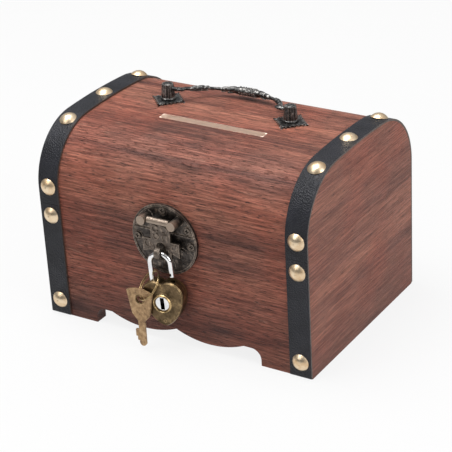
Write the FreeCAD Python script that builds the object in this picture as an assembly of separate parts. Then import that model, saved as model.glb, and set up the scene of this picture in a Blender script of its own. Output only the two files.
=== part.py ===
"""Wooden money box in the shape of a treasure chest, with a hasp, a heart padlock and its key.

Millimetres. X runs to the right, Y to the back and Z up. The origin is on the surface that the
box stands on, under the middle of the wooden base. The lid is shut, the handle lies folded to the
back, and the open padlock hangs in the staple of the hasp with its key on a ring.
"""
import FreeCAD, Part
import math
import os

V = FreeCAD.Vector
RIGHT = V(1, 0, 0)
BACK = V(0, 1, 0)
UP = V(0, 0, 1)

# Wooden box
box_width = 170.0
box_depth = 118.6
seam_height = 69.5
seam_gap = 0.15
wall_thickness = 8.0
end_thickness = 9.0
floor_thickness = 5.0
floor_clearance = 1.0
lid_straight_height = 9.0
shoulder_radius = 34.2
crown_radius = 428.0
lid_thickness = 5.0

# Scalloped lower edge of the front and the back
foot_width = 31.2
apron_height = 9.5
apron_dip = 4.7
cusp_height = 9.2
foot_arch_radius = 6.0
arch_flat = 4.8

# Coin slot
slot_length = 66.0
slot_width = 5.0
slot_x = 2.0
slot_y = -14.0

# Leather straps
strap_width = 13.0
strap_thickness = 1.1
strap_bond = 0.05
strap_lift = 0.6

# Brass studs
stud_radius = 4.9
stud_dome_height = 2.5
stud_shank_radius = 0.9
stud_shank_length = 7.0
stud_clearance = 0.05
lid_stud_count = 5
lid_stud_first = 10.3
lid_stud_second = 51.2
lid_stud_last = 18.6
base_stud_below_seam = 7.0
base_stud_above_floor = 9.2

# Butt hinges on the back
hinge_spacing = 96.0
hinge_width = 24.0
hinge_leaf_height = 12.0
hinge_leaf_thickness = 1.0
hinge_knuckle_radius = 2.2
hinge_pin_radius = 1.0
hinge_pin_head = 0.6
hinge_leaf_gap = 0.4
hinge_side_gap = 0.3
hinge_screw_spacing = 14.0

# Small wood screws, shared by the hinges and the hasp
screw_shank_radius = 0.9
screw_cover = 0.8
screw_head_radius = 1.8
screw_head_height = 0.9
cross_width = 0.7
cross_margin = 0.6
cross_depth = 0.5

# Clearances that turning and sliding pieces share
running_clearance = 0.05
seat_gap = 0.05

# Drop handle on the lid
handle_spacing = 78.8
handle_y = 6.0
handle_plate_half = 10.5
handle_plate_thickness = 1.2
post_base_radius = 4.0
post_top_radius = 3.1
post_height = 8.8
post_sides = 8
post_screw_radius = 1.25
post_screw_depth = 3.6
post_screw_head_radius = 2.6
post_screw_head_height = 1.4
pivot_height = 6.2
stub_radius = 1.1
stub_depth = 2.4
elbow_radius = 1.9
elbow_gap = 0.4
bail_reach = 22.5
bail_wire_radius = 1.5
bail_leaf_radius = 2.1
bail_grip_radius = 2.8
bail_rest_gap = 0.3
bail_grip_half = 11.0
bail_grip_taper = 6.8
bail_leaf_middle = 29.8
bail_leaf_half = 5.4
bail_section_count = 14

# Round hasp, split at the seam and set a little to the left
hasp_x = -2.2
hasp_radius = 20.5
hasp_centre_drop = 5.0
hasp_plate_thickness = 1.4
hasp_rim_width = 1.2
hasp_rim_height = 0.4
hasp_screw_edge = 0.3
upper_screw_angles = (28, 90, 152)
lower_screw_angles = (-3, 183)
ear_spacing = 19.2
ear_radius = 2.6
ear_overhang = 3.1
flap_hinge_rise = 7.6
flap_hinge_out = 6.2
flap_pin_radius = 0.9
flap_barrel_radius = 1.9
flap_side_gap = 0.35
flap_thickness = 1.2
flap_neck_half = 6.1
flap_neck_length = 11.7
wing_half = 11.6
wing_drop = 19.9
notch_half = 3.1
notch_straight = 0.7
staple_half = 1.6
staple_rim = 1.3
staple_flange_half = 4.2
staple_flange_height = 11.0
staple_flange_thickness = 0.8
eye_clearance = 0.8
eye_seat = 0.2

# Padlock, hanging a little askew in the staple
padlock_tilt = 3.5
padlock_yaw = 9.0
shackle_radius = 1.4
shackle_half_span = 6.0
shackle_top_drop = 10.9
flap_to_shackle = 0.45
swing_clearance = 0.6
short_leg = 7.2
open_leg = 10.1
lock_travel = 8.5
long_leg_hold = 5.0
spring_shut = 3.3
case_bottom_wall = 9.3
case_side_wall = 4.7
case_wall = 1.9
leg_clearance = 0.1
case_back_thickness = 1.0
case_bevel = 0.8
case_front_scale = 0.96
heart_notch = 1.1
heart_lobe_x = 6.2
heart_widest_drop = 7.5
heart_waist_inset = 2.6
heart_waist_drop = 17.5
heart_tip_half = 3.0
heart_tip_rise = 1.0
boss_height = 1.0
boss_rim = 1.2
boss_foot = 1.0
plug_drop = 12.2
plug_wall = 0.5
plug_recess = 0.3
keyhole_width = 2.4
keyhole_margin = 0.5
keyhole_depth = 3.0
crank_radius = 1.6
crank_pin_radius = 0.7
crank_slack = 0.4
latch_thickness = 1.3
latch_gap = 0.2
latch_bar_height = 1.4
latch_prong = 1.3
spring_wire_radius = 0.25
spring_turns = 6
rivet_radius = 0.8
rivet_depth = 4.0
tip_rivet_rise = 2.9
side_rivet_wall = 0.7

# Key and its ring, with the sizes of the key counted from the centre of its hole
key_thickness = 1.3
key_hole_radius = 2.3
key_head_half = 8.3
key_crown_rise = 6.3
key_shoulder_rise = 4.4
key_waist_half = 5.6
key_waist_drop = 9.5
key_neck_drop = 13.5
blade_half = 2.05
blade_drop = 28.9
bit_drop = 19.2
bit_length = 4.2
bit_reach = 2.1
step_length = 2.4
step_reach = 1.1
key_to_boss = 2.2
key_hole_left = 10.5
key_hole_drop = 37.9
ring_wire_radius = 0.5
ring_seat = 0.5
ring_behind_leg = 2.0
ring_beside_leg = 2.8
ring_above_case = 3.5


# Places worked out from the driving dimensions
half_width = box_width / 2
half_depth = box_depth / 2
inner_x = half_width - end_thickness
inner_y = half_depth - wall_thickness
lid_bottom = seam_height + seam_gap
spring_z = seam_height + lid_straight_height
shoulder_y = half_depth - shoulder_radius
crown_half_angle = math.asin(shoulder_y / (crown_radius - shoulder_radius))
crown_z = spring_z - (crown_radius - shoulder_radius) * math.cos(crown_half_angle)
lid_top = crown_z + crown_radius
lid_straight = spring_z - lid_bottom
shoulder_turn = math.pi / 2 - crown_half_angle
arch_length = 2 * (lid_straight + shoulder_radius * shoulder_turn + crown_radius * crown_half_angle)
floor_z = apron_height + floor_clearance
strap_x = half_width - strap_width / 2
strap_out = strap_bond + strap_thickness
stud_seat = strap_out + stud_clearance
hinge_y = half_depth + hinge_knuckle_radius
hinge_z = seam_height + seam_gap / 2
handle_plate_z = lid_top + seat_gap
post_z = handle_plate_z + handle_plate_thickness
pivot_z = post_z + pivot_height
bail_end_x = handle_spacing / 2 - post_base_radius - elbow_gap - elbow_radius
bail_droop = math.asin((pivot_z - lid_top - bail_grip_radius - bail_rest_gap) / bail_reach)
bail_arc_radius = (bail_end_x ** 2 + bail_reach ** 2) / (2 * bail_reach)
bail_half_angle = math.atan2(bail_end_x, bail_arc_radius - bail_reach)
hasp_z = seam_height - hasp_centre_drop
flap_z = seam_height + flap_hinge_rise
flap_back = flap_hinge_out - flap_barrel_radius
flap_front = flap_back + flap_thickness
shackle_out = flap_front + flap_to_shackle + shackle_radius
shackle_z = seam_height - shackle_top_drop
eye_radius = shackle_radius + eye_clearance
arch_inside = shackle_half_span - shackle_radius
arch_sag = arch_inside - math.sqrt(arch_inside ** 2 - staple_half ** 2)
eye_z = shackle_z + eye_clearance - arch_sag - eye_seat
staple_end_radius = eye_radius + staple_rim
prong_reach = (math.hypot(shackle_out - flap_hinge_out, flap_z - shackle_z)
               - shackle_radius - swing_clearance)
arch_z = shackle_z - shackle_half_span
case_top = arch_z - open_leg
case_height = long_leg_hold + lock_travel + spring_shut + case_bottom_wall
case_tip = case_top - case_height
case_half = shackle_half_span + shackle_radius + leg_clearance + case_side_wall
case_back_out = shackle_out - shackle_radius - case_wall
case_front_out = shackle_out + shackle_radius + case_wall
case_inside_out = case_back_out + case_back_thickness
boss_out = case_front_out + boss_height
plug_radius = shackle_half_span - shackle_radius - leg_clearance - plug_wall
boss_radius = plug_radius + boss_rim
plug_z = case_top - plug_drop
long_leg_end = case_top - long_leg_hold
spring_foot = long_leg_end - lock_travel - spring_shut
short_leg_end = arch_z - short_leg
short_leg_shut = short_leg_end - lock_travel
latch_back_out = case_inside_out + latch_gap
latch_front_out = latch_back_out + latch_thickness
plug_back_out = latch_front_out + latch_gap
latch_bar_z = short_leg_shut + latch_bar_height / 2
latch_half = crank_pin_radius + crank_slack + latch_prong
latch_rest_x = shackle_half_span - shackle_radius - leg_clearance - latch_gap
latch_throw = crank_radius
key_out = boss_out + key_to_boss
key_hole_x = hasp_x - key_hole_left
key_hole_z = seam_height - key_hole_drop


def front_y(out):
    """Y of a point that stands out from the wooden front by a distance."""
    return -half_depth - out


def block(x, y, z):
    """Solid box between pairs of limits along X, Y and Z."""
    corner = V(min(x), min(y), min(z))
    return Part.makeBox(abs(x[1] - x[0]), abs(y[1] - y[0]), abs(z[1] - z[0]), corner)


def bar(radius, start, end):
    """Round bar between two points."""
    along = end - start
    return Part.makeCylinder(radius, along.Length, start, along)


def line(a, b):
    return Part.LineSegment(a, b).toShape()


def arc(a, b, c):
    return Part.Arc(a, b, c).toShape()


def prism(edges, along):
    """Solid made by pushing a closed outline along a direction."""
    return Part.Face(Part.Wire(edges)).extrude(along)


def polygon(points):
    """Closed wire through points."""
    return Part.makePolygon(points + [points[0]])


def joined(solids):
    """One solid from touching solids."""
    whole = solids[0].fuse(solids[1:])
    return whole.removeSplitter().Solids[0]


def mirrored(solid):
    """The same piece on the other side of the middle of the box."""
    return solid.mirror(V(0, 0, 0), RIGHT)


def seated(solid, point, outward):
    """A copy of a piece made along Z, set at a point and turned to face outward."""
    piece = solid.copy()
    piece.Placement = FreeCAD.Placement(point, FreeCAD.Rotation(UP, outward))
    return piece


def on_hasp(solid):
    """A piece made at X = 0, moved to the middle of the hasp."""
    piece = solid.copy()
    piece.translate(RIGHT * hasp_x)
    return piece


def hung(piece):
    """A piece or a point of the upright padlock, hung askew in the staple."""
    arch_centre = V(0, front_y(shackle_out), arch_z)
    tilt = FreeCAD.Placement(V(0, 0, 0), FreeCAD.Rotation(BACK, -padlock_tilt), arch_centre)
    yaw = FreeCAD.Placement(RIGHT * hasp_x, FreeCAD.Rotation(UP, padlock_yaw), arch_centre)
    hang = yaw * tilt
    if isinstance(piece, V):
        return hang.multVec(piece)
    return piece.transformed(hang.toMatrix(), True)


def save(node, *solids):
    """Write the solids of one node."""
    shape = solids[0] if len(solids) == 1 else Part.makeCompound(list(solids))
    shape.exportStep("parts/" + node + ".step")


os.makedirs("parts", exist_ok=True)


# Outline of the arched lid: straight wall, round shoulder, flat crown, and back down
def arch_face(offset):
    """Cross-section of the lid, grown by an offset, at X = 0."""
    half = half_depth + offset
    shoulder = shoulder_radius + offset
    half_turn = shoulder_turn / 2
    across = V(0, half, spring_z)
    middle = V(0, shoulder_y + shoulder * math.cos(half_turn), spring_z + shoulder * math.sin(half_turn))
    tangent = V(0, shoulder_y + shoulder * math.cos(shoulder_turn),
                spring_z + shoulder * math.sin(shoulder_turn))

    def front(point):
        return V(0, -point.y, point.z)

    foot = V(0, half, lid_bottom)
    return Part.Face(Part.Wire([
        line(front(foot), front(across)),
        arc(front(across), front(middle), front(tangent)),
        arc(front(tangent), V(0, 0, lid_top + offset), tangent),
        arc(tangent, middle, across),
        line(across, foot),
        line(foot, front(foot)),
    ]))


def arch_band(inner, outer, x_low, x_high):
    """Bent sheet between two offsets of the lid's outline."""
    along = RIGHT * (x_high - x_low)
    band = arch_face(outer).extrude(along).cut(arch_face(inner).extrude(along))
    band.translate(RIGHT * x_low)
    return band.Solids[0]


def arch_station(distance):
    """Point on the wood and outward direction, at a distance along the arch from the front seam."""
    if distance > arch_length / 2:
        point, outward = arch_station(arch_length - distance)
        return V(0, -point.y, point.z), V(0, -outward.y, outward.z)
    if distance < lid_straight:
        return V(0, -half_depth, lid_bottom + distance), -BACK
    turn = (distance - lid_straight) / shoulder_radius
    if turn < shoulder_turn:
        outward = V(0, -math.cos(turn), math.sin(turn))
        return V(0, -shoulder_y, spring_z) + outward * shoulder_radius, outward
    lean = (arch_length / 2 - distance) / crown_radius
    outward = V(0, -math.sin(lean), math.cos(lean))
    return V(0, 0, crown_z) + outward * crown_radius, outward


# Brass studs: a dome on the leather and a nail through it into the end panel
dome_radius = (stud_radius ** 2 + stud_dome_height ** 2) / (2 * stud_dome_height)
dome_half_turn = math.asin(stud_radius / dome_radius) / 2
dome_mid = V(dome_radius * math.sin(dome_half_turn), 0,
             stud_dome_height - dome_radius * (1 - math.cos(dome_half_turn)))
dome_edges = [
    line(V(0, 0, 0), V(stud_radius, 0, 0)),
    arc(V(stud_radius, 0, 0), dome_mid, V(0, 0, stud_dome_height)),
    line(V(0, 0, stud_dome_height), V(0, 0, 0)),
]
dome = Part.Face(Part.Wire(dome_edges)).revolve(V(0, 0, 0), UP, 360)
stud = joined([dome, bar(stud_shank_radius, V(0, 0, 0), UP * -stud_shank_length)])
stud_hole = bar(stud_shank_radius + stud_clearance, UP, UP * -(stud_shank_length + stud_clearance))


def stud_places(stations, x):
    """Seats of studs on the outer face of a strap."""
    return [(point + outward * stud_seat + RIGHT * x, outward) for point, outward in stations]


upper_stud_count = lid_stud_count - 1
lid_stud_step = (arch_length - lid_stud_second - lid_stud_last) / (upper_stud_count - 1)
lid_stations = [arch_station(lid_stud_first)]
lid_stations += [arch_station(lid_stud_second + i * lid_stud_step) for i in range(upper_stud_count)]
base_stud_heights = [base_stud_above_floor, seam_height - base_stud_below_seam]
front_stations = [(V(0, -half_depth, z), -BACK) for z in base_stud_heights]
back_stations = [(V(0, half_depth, z), BACK) for z in base_stud_heights]


def studs_at(places):
    return [seated(stud, point, outward) for point, outward in places]


def drilled(solid, places):
    """The solid with the nail holes of some studs."""
    return solid.cut([seated(stud_hole, point, outward) for point, outward in places])


# Wood screws: a round cross-slotted head and a shank, made with the seat of the head at Z = 0
def wood_screw(length):
    head = bar(screw_head_radius, V(0, 0, 0), UP * screw_head_height)
    reach = screw_head_radius - cross_margin
    slot = block((-reach, reach), (-cross_width / 2, cross_width / 2),
                 (screw_head_height - cross_depth, screw_head_height))
    across = slot.copy()
    across.rotate(V(0, 0, 0), UP, 90)
    whole = joined([head, bar(screw_shank_radius, V(0, 0, 0), UP * -length)])
    return whole.cut([slot, across])


def screw_hole(length):
    radius = screw_shank_radius + running_clearance
    return bar(radius, UP * screw_head_height, UP * -(length + running_clearance))


hinge_screw_length = hinge_leaf_thickness + lid_thickness - screw_cover
hasp_screw_length = hasp_plate_thickness + lid_thickness - screw_cover
hinge_screw_drop = (hinge_leaf_height + hinge_knuckle_radius + hinge_leaf_gap) / 2


def hinge_screw_places(up):
    """Seats of the screws of both hinges, in the upper leaves or in the lower ones."""
    places = []
    for side in (-1, 1):
        for end in (-1, 1):
            x = side * hinge_spacing / 2 + end * hinge_screw_spacing / 2
            places.append(V(x, half_depth + hinge_leaf_thickness, hinge_z + up * hinge_screw_drop))
    return places


def hasp_screw_places(angles):
    """Seats of screws just inside the rim of the hasp, at angles from its right side."""
    circle = hasp_radius - hasp_rim_width - hasp_screw_edge - screw_head_radius
    return [V(hasp_x + circle * math.cos(math.radians(angle)), front_y(hasp_plate_thickness),
              hasp_z + circle * math.sin(math.radians(angle))) for angle in angles]


upper_screw_places = hasp_screw_places(upper_screw_angles)
lower_screw_places = hasp_screw_places(lower_screw_angles)


def screws_at(places, outward, length):
    return [seated(wood_screw(length), place, outward) for place in places]


def screw_holes_at(places, outward, length):
    return [seated(screw_hole(length), place, outward) for place in places]


hinge_holes = {up: screw_holes_at(hinge_screw_places(up), BACK, hinge_screw_length) for up in (-1, 1)}
upper_hasp_holes = screw_holes_at(upper_screw_places, -BACK, hasp_screw_length)
lower_hasp_holes = screw_holes_at(lower_screw_places, -BACK, hasp_screw_length)


# Base: two end panels down to the floor, a scalloped front and back between them, and a floor
base_right_places = (stud_places(front_stations, strap_x) + stud_places(back_stations, strap_x))
base_right_end = block((inner_x, half_width), (-half_depth, half_depth), (0, seam_height))
base_right_end = drilled(base_right_end, base_right_places)
save("base_right_end", base_right_end)
save("base_left_end", mirrored(base_right_end))

foot_x = half_width - foot_width
arch_x = foot_x - foot_arch_radius - arch_flat


def apron_cut():
    """Space under the scalloped edge, on both sides of its middle cusp."""
    y = half_depth
    bend = foot_arch_radius * math.sqrt(0.5)
    corner_x = foot_x - foot_arch_radius
    corner_z = apron_height - foot_arch_radius

    def right(x, z):
        return V(x, y, z)

    def left(x, z):
        return V(-x, y, z)

    edges = [line(left(foot_x, 0), right(foot_x, 0))]
    for side in (right, left):
        edges.append(line(side(foot_x, 0), side(foot_x, corner_z)))
        edges.append(arc(side(foot_x, corner_z), side(corner_x + bend, corner_z + bend),
                         side(corner_x, apron_height)))
        edges.append(line(side(corner_x, apron_height), side(arch_x, apron_height)))
        edges.append(arc(side(arch_x, apron_height), side(arch_x / 2, apron_dip), side(0, cusp_height)))
    return prism(Part.__sortEdges__(edges), BACK * -box_depth)


front_panel = block((-inner_x, inner_x), (-half_depth, -inner_y), (0, seam_height))
back_panel = block((-inner_x, inner_x), (inner_y, half_depth), (0, seam_height))
save("base_front", front_panel.cut([apron_cut()] + lower_hasp_holes))
save("base_back", back_panel.cut([apron_cut()] + hinge_holes[-1]))
save("base_floor", block((-inner_x, inner_x), (-inner_y, inner_y), (floor_z, floor_z + floor_thickness)))

strap_limits = (half_width - strap_width, half_width)
for name, stations, sign in (("front", front_stations, -1), ("back", back_stations, 1)):
    strap = block(strap_limits, (sign * (half_depth + strap_bond), sign * (half_depth + strap_out)),
                  (strap_lift, seam_height))
    strap = drilled(strap, stud_places(stations, strap_x))
    save("base_strap_" + name + "_right", strap)
    save("base_strap_" + name + "_left", mirrored(strap))

base_studs = studs_at(base_right_places)
save("base_studs", *base_studs, *[mirrored(piece) for piece in base_studs])


# Lid: two arched end panels, a bent shell between them with the coin slot, and a strap at each end
lid_right_places = stud_places(lid_stations, strap_x)
lid_right_end = arch_face(0).extrude(RIGHT * end_thickness)
lid_right_end.translate(RIGHT * inner_x)
lid_right_end = drilled(lid_right_end, lid_right_places)
save("lid_right_end", lid_right_end)
save("lid_left_end", mirrored(lid_right_end))

slot_end = (slot_length - slot_width) / 2
slot_z = (lid_top - 2 * lid_thickness, lid_top + lid_thickness)
slot_ends = [bar(slot_width / 2, V(x, slot_y, slot_z[0]), V(x, slot_y, slot_z[1]))
             for x in (slot_x - slot_end, slot_x + slot_end)]
slot_cut = joined([block((slot_x - slot_end, slot_x + slot_end),
                         (slot_y - slot_width / 2, slot_y + slot_width / 2), slot_z)] + slot_ends)
post_places = [V(side * handle_spacing / 2, handle_y, post_z) for side in (-1, 1)]
post_screw_hole = bar(post_screw_radius + running_clearance, UP * -4 * lid_thickness, UP * post_screw_depth)
post_screw_holes = [seated(post_screw_hole, place, UP) for place in post_places]
lid_shell = arch_band(-lid_thickness, 0, -inner_x, inner_x)
save("lid_shell", lid_shell.cut([slot_cut] + post_screw_holes + upper_hasp_holes + hinge_holes[1]))

lid_strap = drilled(arch_band(strap_bond, strap_out, *strap_limits), lid_right_places)
save("lid_strap_right", lid_strap)
save("lid_strap_left", mirrored(lid_strap))

lid_studs = studs_at(lid_right_places)
save("lid_studs", *lid_studs, *[mirrored(piece) for piece in lid_studs])


# Butt hinges: the lower leaf has the two outer knuckles, the upper leaf the middle one
def hinge_leaf(up):
    """Leaf at X = 0 on the back of the box, above the seam or below it."""
    third = hinge_width / 3
    outer = third / 2 + hinge_side_gap / 2
    middle = third / 2 - hinge_side_gap / 2
    spans = [(-middle, middle)] if up > 0 else [(-hinge_width / 2, -outer), (outer, hinge_width / 2)]
    y = (half_depth, half_depth + hinge_leaf_thickness)
    bridge_top = hinge_z + up * (hinge_knuckle_radius + hinge_leaf_gap)
    solids = [block((-hinge_width / 2, hinge_width / 2), y, (bridge_top, hinge_z + up * hinge_leaf_height))]
    for low, high in spans:
        solids.append(block((low, high), y, (hinge_z, bridge_top)))
        solids.append(bar(hinge_knuckle_radius, V(low, hinge_y, hinge_z), V(high, hinge_y, hinge_z)))
    bore = bar(hinge_pin_radius + running_clearance, V(-hinge_width, hinge_y, hinge_z),
               V(hinge_width, hinge_y, hinge_z))
    return joined(solids).cut(bore)


pin_end = hinge_width / 2
hinge_pin = joined([
    bar(hinge_pin_radius, V(-pin_end, hinge_y, hinge_z), V(pin_end, hinge_y, hinge_z)),
    bar(hinge_pin_radius + hinge_pin_head, V(pin_end, hinge_y, hinge_z),
        V(pin_end + hinge_pin_head, hinge_y, hinge_z)),
    bar(hinge_pin_radius + hinge_pin_head, V(-pin_end, hinge_y, hinge_z),
        V(-pin_end - hinge_pin_head, hinge_y, hinge_z)),
])
for name, side in (("left", -1), ("right", 1)):
    shift = RIGHT * (side * hinge_spacing / 2)
    for level, up in (("base", -1), ("lid", 1)):
        leaf = hinge_leaf(up)
        leaf.translate(shift)
        save("hinge_" + name + "_" + level + "_leaf", leaf.cut(hinge_holes[up]))
    pin = hinge_pin.copy()
    pin.translate(shift)
    save("hinge_" + name + "_pin", pin)
for level, up in (("base", -1), ("lid", 1)):
    save("hinge_" + level + "_screws",
         *screws_at(hinge_screw_places(up), BACK, hinge_screw_length))


# Drop handle: a diamond plate and a tapered post at each end, screwed from inside the lid
def regular_wire(radius, z):
    """Regular polygon at a height, with a flat side facing along X."""
    turn = 2 * math.pi / post_sides
    corners = [V(radius * math.cos((i + 0.5) * turn), radius * math.sin((i + 0.5) * turn), z)
               for i in range(post_sides)]
    return polygon(corners)


handle_plate = Part.Face(polygon([
    V(handle_plate_half, 0, 0), V(0, handle_plate_half, 0),
    V(-handle_plate_half, 0, 0), V(0, -handle_plate_half, 0),
])).extrude(UP * -handle_plate_thickness)
post_ends = [regular_wire(post_base_radius, 0), regular_wire(post_top_radius, post_height)]
post = Part.makeLoft(post_ends, True, True)
screw_head_y = handle_y + post_screw_head_radius
lid_underside = crown_z + math.sqrt((crown_radius - lid_thickness) ** 2 - screw_head_y ** 2)
post_screw_foot = lid_underside - seat_gap - post_z
post_screw = joined([
    bar(post_screw_radius, UP * post_screw_foot, UP * (post_screw_depth - seat_gap)),
    bar(post_screw_head_radius, UP * post_screw_foot, UP * (post_screw_foot - post_screw_head_height)),
])
for name, place, inward in (("left", post_places[0], RIGHT), ("right", post_places[1], -RIGHT)):
    stub_bore = bar(stub_radius + running_clearance,
                    V(0, 0, pivot_height) + inward * (post_base_radius - stub_depth - post_top_radius),
                    V(0, 0, pivot_height) + inward * (2 * post_base_radius))
    save("handle_" + name + "_plate", seated(handle_plate.cut(post_screw_hole), place, UP))
    save("handle_" + name + "_post", seated(post.cut([post_screw_hole, stub_bore]), place, UP))
save("handle_screws", *[seated(post_screw, place, UP) for place in post_places])


# Bail of the handle: a bent bar that swells into leaves and a grip, with a stub in each post
def bail_radius(distance):
    """Radius of the bar at a distance along it from its middle."""
    swell = bail_leaf_half - abs(distance - bail_leaf_middle)
    if swell > 0:
        return bail_wire_radius + (bail_leaf_radius - bail_wire_radius) * swell / bail_leaf_half
    taper = min(max((distance - bail_grip_half) / bail_grip_taper, 0), 1)
    return bail_grip_radius + (bail_wire_radius - bail_grip_radius) * taper


def bail_section(step):
    """Round section of the bail, which lies flat, a number of steps to the right of its middle."""
    turn = step / bail_section_count * bail_half_angle
    wire = Part.Wire(Part.Circle(V(0, bail_reach, 0), RIGHT,
                                 bail_radius(abs(turn) * bail_arc_radius)).toShape())
    wire.rotate(V(0, bail_reach - bail_arc_radius, 0), UP, -math.degrees(turn))
    return wire


bail_steps = range(-bail_section_count, bail_section_count + 1)
bail_body = Part.makeLoft([bail_section(step) for step in bail_steps], True, True)
stub_tip = handle_spacing / 2 - post_base_radius + stub_depth
bail_ends = []
for side in (-1, 1):
    elbow = V(side * bail_end_x, 0, 0)
    bail_ends.append(Part.makeSphere(elbow_radius, elbow))
    bail_ends.append(bar(stub_radius, elbow, V(side * stub_tip, 0, 0)))
bail = joined([bail_body] + bail_ends)
bail.rotate(V(0, 0, 0), RIGHT, -math.degrees(bail_droop))
bail.translate(V(0, handle_y, pivot_z))
save("handle_bail", bail)


# Round hasp: the upper part on the lid with two ears, the lower part on the base with the staple
def hasp_plate(z_low, z_high):
    """Part of the round plate between two heights, with its raised rim."""
    centre = V(0, front_y(0), hasp_z)
    disc = bar(hasp_radius, centre, centre - BACK * hasp_plate_thickness)
    rim_front = centre - BACK * (hasp_plate_thickness + hasp_rim_height)
    rim = bar(hasp_radius, centre, rim_front).cut(bar(hasp_radius - hasp_rim_width, centre, rim_front))
    band = block((-hasp_radius, hasp_radius), (front_y(0), front_y(flap_hinge_out)), (z_low, z_high))
    return disc.fuse(rim).removeSplitter().common(band)


ear_out = flap_hinge_out + ear_overhang
flap_pin_end = ear_spacing / 2 + ear_radius / 2
flap_pin_hole = bar(flap_pin_radius + running_clearance,
                    V(-flap_pin_end, front_y(flap_hinge_out), flap_z),
                    V(flap_pin_end, front_y(flap_hinge_out), flap_z))
ears = [bar(ear_radius, V(side * ear_spacing / 2, front_y(hasp_plate_thickness / 2), flap_z),
            V(side * ear_spacing / 2, front_y(ear_out), flap_z)) for side in (-1, 1)]
upper_plate = joined([hasp_plate(lid_bottom, hasp_z + hasp_radius)] + ears)
save("hasp_upper_plate", on_hasp(upper_plate.cut(flap_pin_hole)).cut(upper_hasp_holes))
save("hasp_upper_screws", *screws_at(upper_screw_places, -BACK, hasp_screw_length))
flap_pin = bar(flap_pin_radius, V(-flap_pin_end, front_y(flap_hinge_out), flap_z),
               V(flap_pin_end, front_y(flap_hinge_out), flap_z))
save("hasp_hinge_pin", on_hasp(flap_pin))

lower_plate = hasp_plate(hasp_z - hasp_radius, seam_height)
save("hasp_lower_plate", on_hasp(lower_plate).cut(lower_hasp_holes))
save("hasp_lower_screws", *screws_at(lower_screw_places, -BACK, hasp_screw_length))

staple_y = (front_y(hasp_plate_thickness), front_y(shackle_out))
eye_start = V(-staple_half, front_y(shackle_out), eye_z)
eye_end = V(staple_half, front_y(shackle_out), eye_z)
staple = joined([
    block((-staple_half, staple_half), staple_y, (eye_z - staple_end_radius, eye_z + staple_end_radius)),
    bar(staple_end_radius, eye_start, eye_end),
    block((-staple_flange_half, staple_flange_half),
          (staple_y[0], staple_y[0] - staple_flange_thickness),
          (eye_z - staple_flange_height / 2, eye_z + staple_flange_height / 2)),
])
save("hasp_staple", on_hasp(staple.cut(bar(eye_radius, eye_start, eye_end))))


# Flap of the hasp: a barrel between the ears, a neck, and two wings beside a notch for the staple
def flap_outline():
    """Closed outline of the flap plate on its back face, from the barrel downwards."""
    def right(x, drop):
        return V(x, front_y(flap_back), flap_z - drop)

    def left(x, drop):
        return right(-x, drop)

    notch_spring = prong_reach - notch_straight
    edges = [line(left(flap_neck_half, 0), right(flap_neck_half, 0))]
    for side in (right, left):
        corners = [side(flap_neck_half, 0), side(flap_neck_half, flap_neck_length),
                   side(wing_half, flap_neck_length), side(wing_half, wing_drop),
                   side(notch_half, prong_reach), side(notch_half, notch_spring)]
        edges += [line(a, b) for a, b in zip(corners, corners[1:])]
    edges.append(arc(right(notch_half, notch_spring), right(0, notch_spring - notch_half),
                     left(notch_half, notch_spring)))
    return Part.__sortEdges__(edges)


barrel_half = ear_spacing / 2 - ear_radius - flap_side_gap
barrel_start = V(-barrel_half, front_y(flap_hinge_out), flap_z)
barrel_end = V(barrel_half, front_y(flap_hinge_out), flap_z)
flap = joined([prism(flap_outline(), BACK * -flap_thickness),
               bar(flap_barrel_radius, barrel_start, barrel_end)])
save("hasp_flap", on_hasp(flap.cut(bar(flap_pin_radius + running_clearance, barrel_start, barrel_end))))


# Shackle of the padlock: a long leg that stays in the case and a short one with a notch for the latch
def shackle_point(x, z):
    return V(x, front_y(shackle_out), z)


shackle_line = Part.Wire([
    line(shackle_point(-shackle_half_span, long_leg_end), shackle_point(-shackle_half_span, arch_z)),
    arc(shackle_point(-shackle_half_span, arch_z), shackle_point(0, shackle_z),
        shackle_point(shackle_half_span, arch_z)),
    line(shackle_point(shackle_half_span, arch_z), shackle_point(shackle_half_span, short_leg_end)),
])
shackle_section = Part.Wire(Part.Circle(shackle_point(-shackle_half_span, long_leg_end), UP,
                                        shackle_radius).toShape())
shackle = shackle_line.makePipeShell([shackle_section], True, True)
notch_z = latch_bar_z + lock_travel
latch_notch = block((latch_rest_x, latch_rest_x + latch_throw + 2 * latch_gap),
                    (front_y(shackle_out - 2 * shackle_radius), front_y(shackle_out + 2 * shackle_radius)),
                    (notch_z - latch_gap, notch_z + latch_bar_height + latch_gap))
save("padlock_shackle", hung(shackle.cut(latch_notch)))


# Heart case of the padlock, cast in one piece with a boss, and closed by a riveted back plate
def heart_wire(out, scale):
    """Heart outline at a distance from the wooden front, scaled about its middle."""
    middle = (case_top + case_tip) / 2
    widest = case_top - heart_widest_drop
    waist = case_top - heart_waist_drop
    tip_side = case_tip + heart_tip_rise

    def place(x, z):
        return V(x * scale, front_y(out), middle + (z - middle) * scale)

    edges = [arc(place(heart_tip_half, tip_side), place(0, case_tip), place(-heart_tip_half, tip_side))]
    for side in (1, -1):
        edges.append(arc(place(0, case_top - heart_notch), place(side * heart_lobe_x, case_top),
                         place(side * case_half, widest)))
        waist_half = case_half - heart_waist_inset
        edges.append(arc(place(side * case_half, widest), place(side * waist_half, waist),
                         place(side * heart_tip_half, tip_side)))
    return Part.Wire(Part.__sortEdges__(edges))


def leg_bore(x, foot):
    return bar(shackle_radius + leg_clearance, V(x, front_y(shackle_out), foot),
               V(x, front_y(shackle_out), case_top + heart_notch))


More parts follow.
